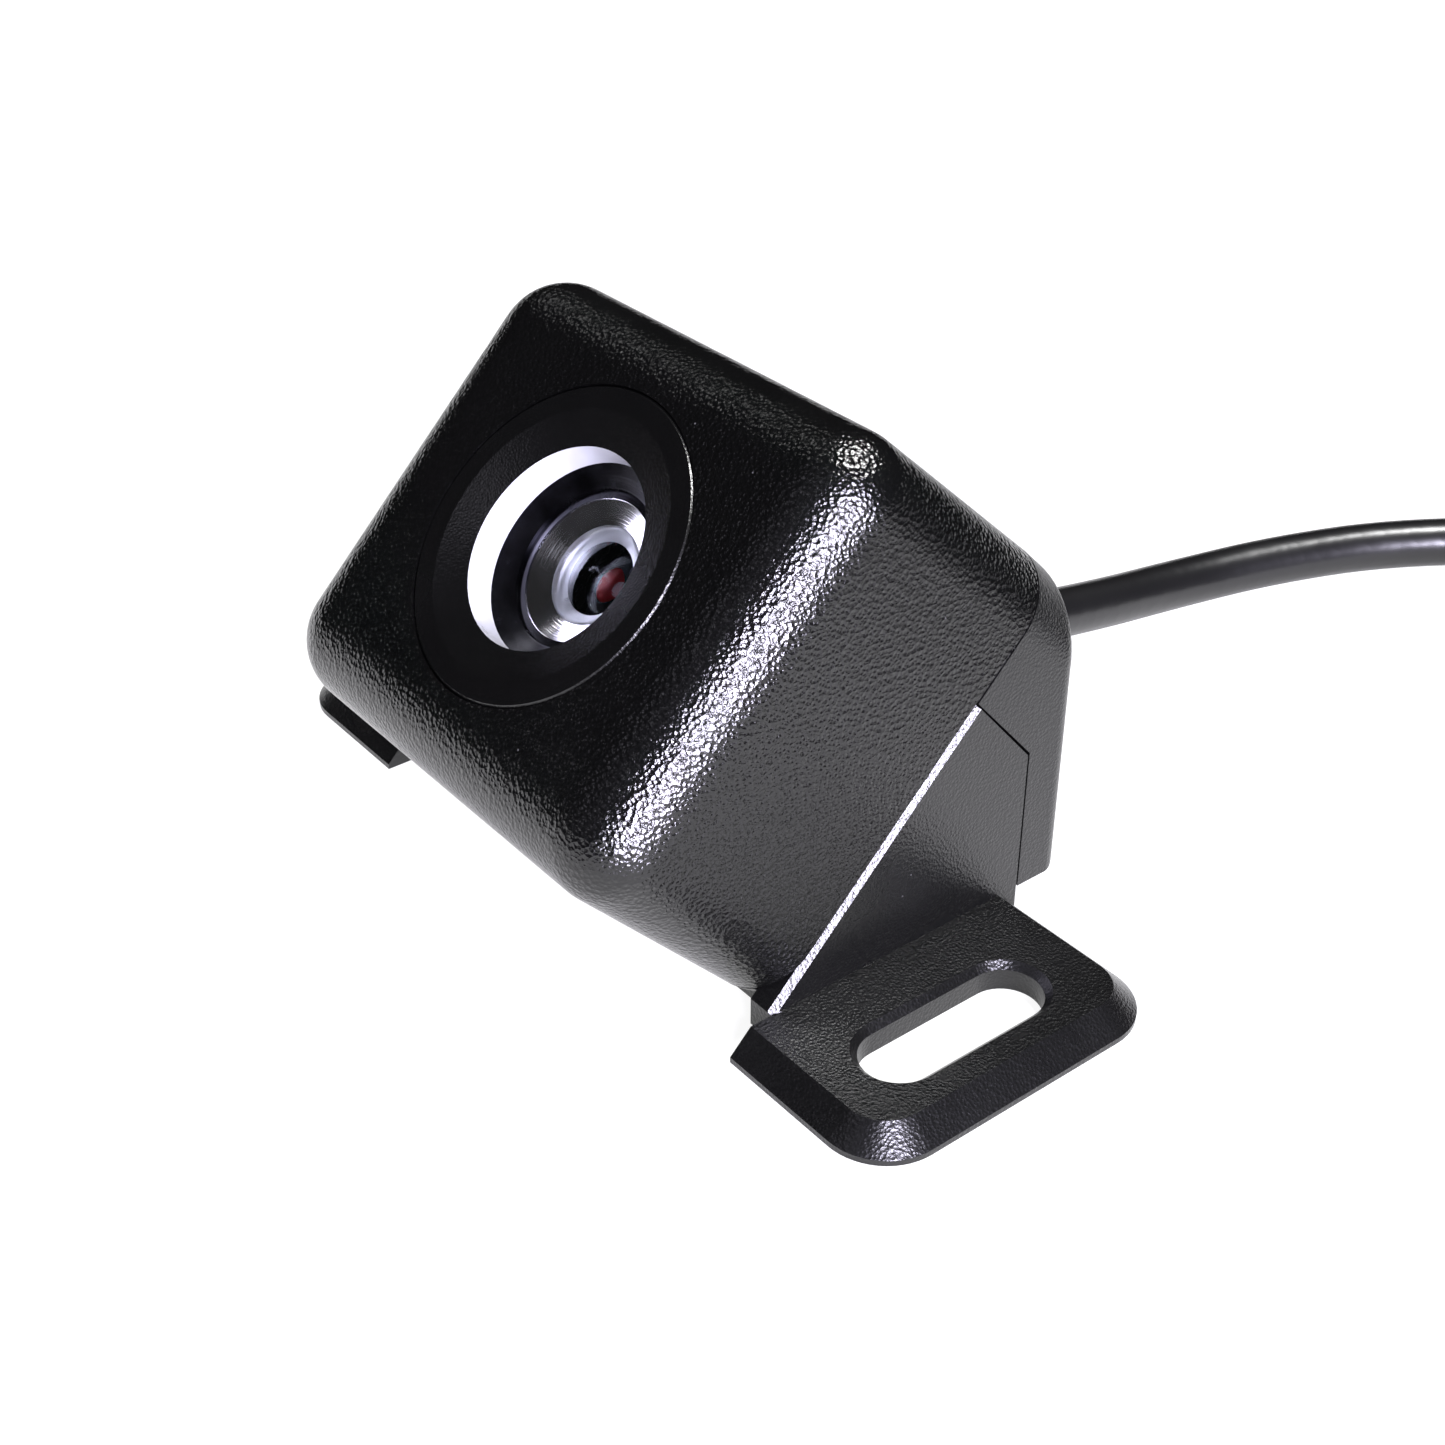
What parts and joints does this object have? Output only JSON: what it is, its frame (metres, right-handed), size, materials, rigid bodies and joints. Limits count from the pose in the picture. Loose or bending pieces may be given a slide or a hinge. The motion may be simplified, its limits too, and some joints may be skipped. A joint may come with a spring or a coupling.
{
  "type": "backup camera",
  "caption": "Small bracket-mount reversing camera, a square black head tilted on slotted ears, with a coiled pigtail ending in a screw-coupling plug.",
  "frame": {"origin": "on the mounting face of the bracket, midway between the two slots", "axes": "+Z away from the mounting face, X from ear to ear, +Y towards the cable, lens looking up along -Y and +Z"},
  "size_m": [0.0955, 0.0936, 0.0269],
  "materials": {
    "housing_abs": "coarse spark-eroded grain",
    "cover_abs": "fine grain",
    "bracket_abs": "fine satin grain",
    "ring_black": "smooth satin",
    "bright_sleeve": "polished",
    "bright_bezel": "mirror polished",
    "lens_black": "black anodised",
    "lens_glass": "polished",
    "coated_glass": "red reflecting coating",
    "filter_glass": "infrared filter",
    "holder_black": "moulded",
    "chip_black": "moulded package",
    "circuit_green": "solder mask",
    "zinc_steel": "zinc plated",
    "ceramic_tan": "ceramic",
    "brass_spacer": "turned",
    "bright_can": "drawn can",
    "ferrite_grey": "ferrite",
    "header_white": "nylon",
    "black_rubber": "moulded",
    "gland_pvc": "moulded",
    "wire_jacket": "insulated wire",
    "cable_pvc": "satin jacket",
    "tie_black": "twist tie",
    "plug_pvc": "overmoulded",
    "insert_grey": "moulded insulator",
    "gold_pins": "gold plated",
    "seal_orange": "moulded",
    "nut_black": "fluted grip"
  },
  "bodies": {
    "camera": {"front_housing": "housing_abs", "rear_cover": "cover_abs", "bracket": "bracket_abs", "lens_ring": "ring_black", "lens_sleeve": "bright_sleeve", "ring_seal": "black_rubber", "housing_seal": "black_rubber", "lens_barrel": "lens_black", "lens_spacer": "bright_sleeve", "lens_bezel": "bright_bezel", "aperture_stop": "lens_black", "lens_retainer": "lens_black", "front_element": "lens_glass", "second_element": "lens_glass", "rear_element": "coated_glass", "ir_filter": "filter_glass", "lens_holder": "holder_black", "image_sensor": "chip_black", "sensor_glass": "lens_glass", "sensor_board": "circuit_green", "board_screws": "zinc_steel", "case_screws": "zinc_steel", "bracket_screws": "zinc_steel", "sensor_parts": "ceramic_tan", "video_board": "circuit_green", "board_link": "chip_black", "board_spacers": "brass_spacer", "video_chip": "chip_black", "crystal": "bright_can", "inductor": "ferrite_grey", "capacitors": "ceramic_tan", "cable_header": "header_white", "inner_plug": "header_white", "cable_gland": "gland_pvc", "cable_wires": "wire_jacket", "cable": "cable_pvc", "cable_coil": "cable_pvc", "cable_tail": "cable_pvc", "cable_tie": "tie_black", "plug_relief": "plug_pvc", "plug_body": "plug_pvc", "plug_insert": "insert_grey", "plug_pins": "gold_pins", "nut_clip": "zinc_steel", "plug_seal": "seal_orange"},
    "nut": {"coupling_nut": "nut_black"}
  },
  "joints": [
    {"name": "nut_turn", "type": "hinge", "parent": "camera", "child": "nut", "pos_m": [0.064, 0.018, 0.0065], "axis": [0, -1, 0], "continuous": true}
  ]
}
